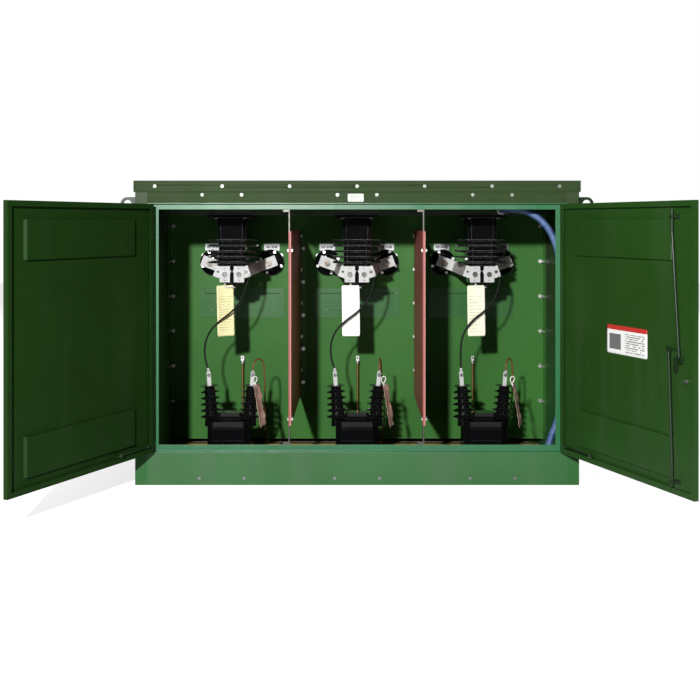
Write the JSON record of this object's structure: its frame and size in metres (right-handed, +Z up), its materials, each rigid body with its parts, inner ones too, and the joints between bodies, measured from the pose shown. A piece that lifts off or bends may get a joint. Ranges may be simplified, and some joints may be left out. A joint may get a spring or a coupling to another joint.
{
  "type": "pad-mounted metering cabinet",
  "caption": "Pad-mounted steel metering cabinet with hinged double doors front and rear, holding a current and a voltage transformer per phase between insulating barriers.",
  "frame": {"origin": "centre of the anchor holes, on the ground under the middle of the cabinet", "axes": "+X to the right seen from the front, the front faces -Y, +Z up"},
  "size_m": [2.3192, 2.2238, 1.234],
  "materials": {
    "green_paint": "satin powder coat",
    "dark_epoxy": "gloss cast resin",
    "tinned_copper": "tin plate",
    "zinc_steel": "zinc plate",
    "core_iron": "laminated iron",
    "barrier_sheet": "glass-reinforced polyester",
    "black_jacket": "smooth jacket",
    "brown_jacket": "smooth jacket",
    "copper_bar": "dull",
    "tag_card": "card",
    "label_white": "plastic",
    "conduit_blue": "smooth jacket"
  },
  "bodies": {
    "cabinet": {"base_frame": "green_paint", "left_side_wall": "green_paint", "right_side_wall": "green_paint", "roof_cap": "green_paint", "front_header": "green_paint", "front_sill": "green_paint", "front_door_frame": "green_paint", "rear_header": "green_paint", "rear_sill": "green_paint", "rear_door_frame": "green_paint", "lifting_lugs": "green_paint", "shell_bolts": "green_paint", "compartment_wall": "green_paint", "wall_angles": "green_paint", "cover_plates": "green_paint", "wall_bolts": "zinc_steel", "phase_barriers": "barrier_sheet", "barrier_supports": "zinc_steel", "mounting_channels": "zinc_steel", "left_current_transformer": "dark_epoxy", "left_voltage_transformer": "dark_epoxy", "left_jumper": "black_jacket", "left_earth_lead": "brown_jacket", "middle_current_transformer": "dark_epoxy", "middle_voltage_transformer": "dark_epoxy", "middle_jumper": "black_jacket", "middle_earth_lead": "brown_jacket", "right_current_transformer": "dark_epoxy", "right_voltage_transformer": "dark_epoxy", "right_jumper": "black_jacket", "right_earth_lead": "brown_jacket", "transformer_cores": "core_iron", "ct_terminals": "tinned_copper", "vt_terminals": "tinned_copper", "bus_bars": "tinned_copper", "wall_bushings": "dark_epoxy", "bushing_clamps": "dark_epoxy", "terminal_bolts": "zinc_steel", "cable_lugs": "tinned_copper", "ground_bus": "copper_bar", "instrument_tags": "tag_card", "label_plates": "label_white", "conduit": "conduit_blue", "conduit_fittings": "zinc_steel", "frame_hinges": "green_paint"},
    "left_door": {"left_door": "green_paint", "left_door_stiffeners": "green_paint"},
    "left_stay": {"left_door_stay": "zinc_steel"},
    "right_door": {"right_door": "green_paint", "right_door_stiffeners": "green_paint", "latch_guides": "zinc_steel"},
    "latch": {"latch_cam": "green_paint", "door_handle": "green_paint"},
    "upper_rod": {"upper_latch_rod": "zinc_steel"},
    "lower_rod": {"lower_latch_rod": "zinc_steel"},
    "security_bolt": {"lock_bolt": "zinc_steel"},
    "right_stay": {"right_door_stay": "zinc_steel"},
    "rear_left_door": {"rear_left_door": "green_paint"},
    "rear_right_door": {"rear_right_door": "green_paint"},
    "rear_latch": {"rear_handle": "green_paint"}
  },
  "joints": [
    {"name": "left_door_hinge", "type": "hinge", "parent": "cabinet", "child": "left_door", "pos_m": [-0.84, -0.709, 0.633], "axis": [0, 0, 1], "range_deg": [-3.2, 114.8]},
    {"name": "right_door_hinge", "type": "hinge", "parent": "cabinet", "child": "right_door", "pos_m": [0.84, -0.709, 0.633], "axis": [0, 0, 1], "range_deg": [-111.05, 6.95]},
    {"name": "left_stay_pivot", "type": "hinge", "parent": "left_door", "child": "left_stay", "pos_m": [-0.90749, -0.92898, 0.17], "axis": [0, 0, 1], "range_deg": [-75, 0]},
    {"name": "right_stay_pivot", "type": "hinge", "parent": "right_door", "child": "right_stay", "pos_m": [0.89296, -0.93292, 0.17], "axis": [0, 0, 1], "range_deg": [0, 75]},
    {"name": "latch_spindle", "type": "hinge", "parent": "right_door", "child": "latch", "pos_m": [1.09883, -1.40658, 0.616], "axis": [-0.9333, -0.3592, 0], "range_deg": [0, 60]},
    {"name": "upper_rod_slide", "type": "slide", "parent": "right_door", "child": "upper_rod", "axis": [0, 0, 1], "range_m": [0, 0.03]},
    {"name": "lower_rod_slide", "type": "slide", "parent": "right_door", "child": "lower_rod", "axis": [0, 0, -1], "range_m": [0, 0.03]},
    {"name": "security_bolt_turn", "type": "hinge", "parent": "right_door", "child": "security_bolt", "pos_m": [1.11607, -1.45138, 0.53], "axis": [-0.9333, -0.3592, 0], "continuous": true},
    {"name": "rear_left_door_hinge", "type": "hinge", "parent": "cabinet", "child": "rear_left_door", "pos_m": [-0.84, 0.709, 0.633], "axis": [0, 0, 1], "range_deg": [0, 115]},
    {"name": "rear_right_door_hinge", "type": "hinge", "parent": "cabinet", "child": "rear_right_door", "pos_m": [0.84, 0.709, 0.633], "axis": [0, 0, 1], "range_deg": [-115, 0]},
    {"name": "rear_latch_spindle", "type": "hinge", "parent": "rear_left_door", "child": "rear_latch", "pos_m": [-0.08, 0.7, 0.616], "axis": [0, 1, 0], "range_deg": [0, 60]}
  ],
  "couplings": [
    {"joint": "upper_rod_slide", "follows": "latch_spindle", "m_per_rad": 0.028648},
    {"joint": "lower_rod_slide", "follows": "latch_spindle", "m_per_rad": 0.028648}
  ]
}
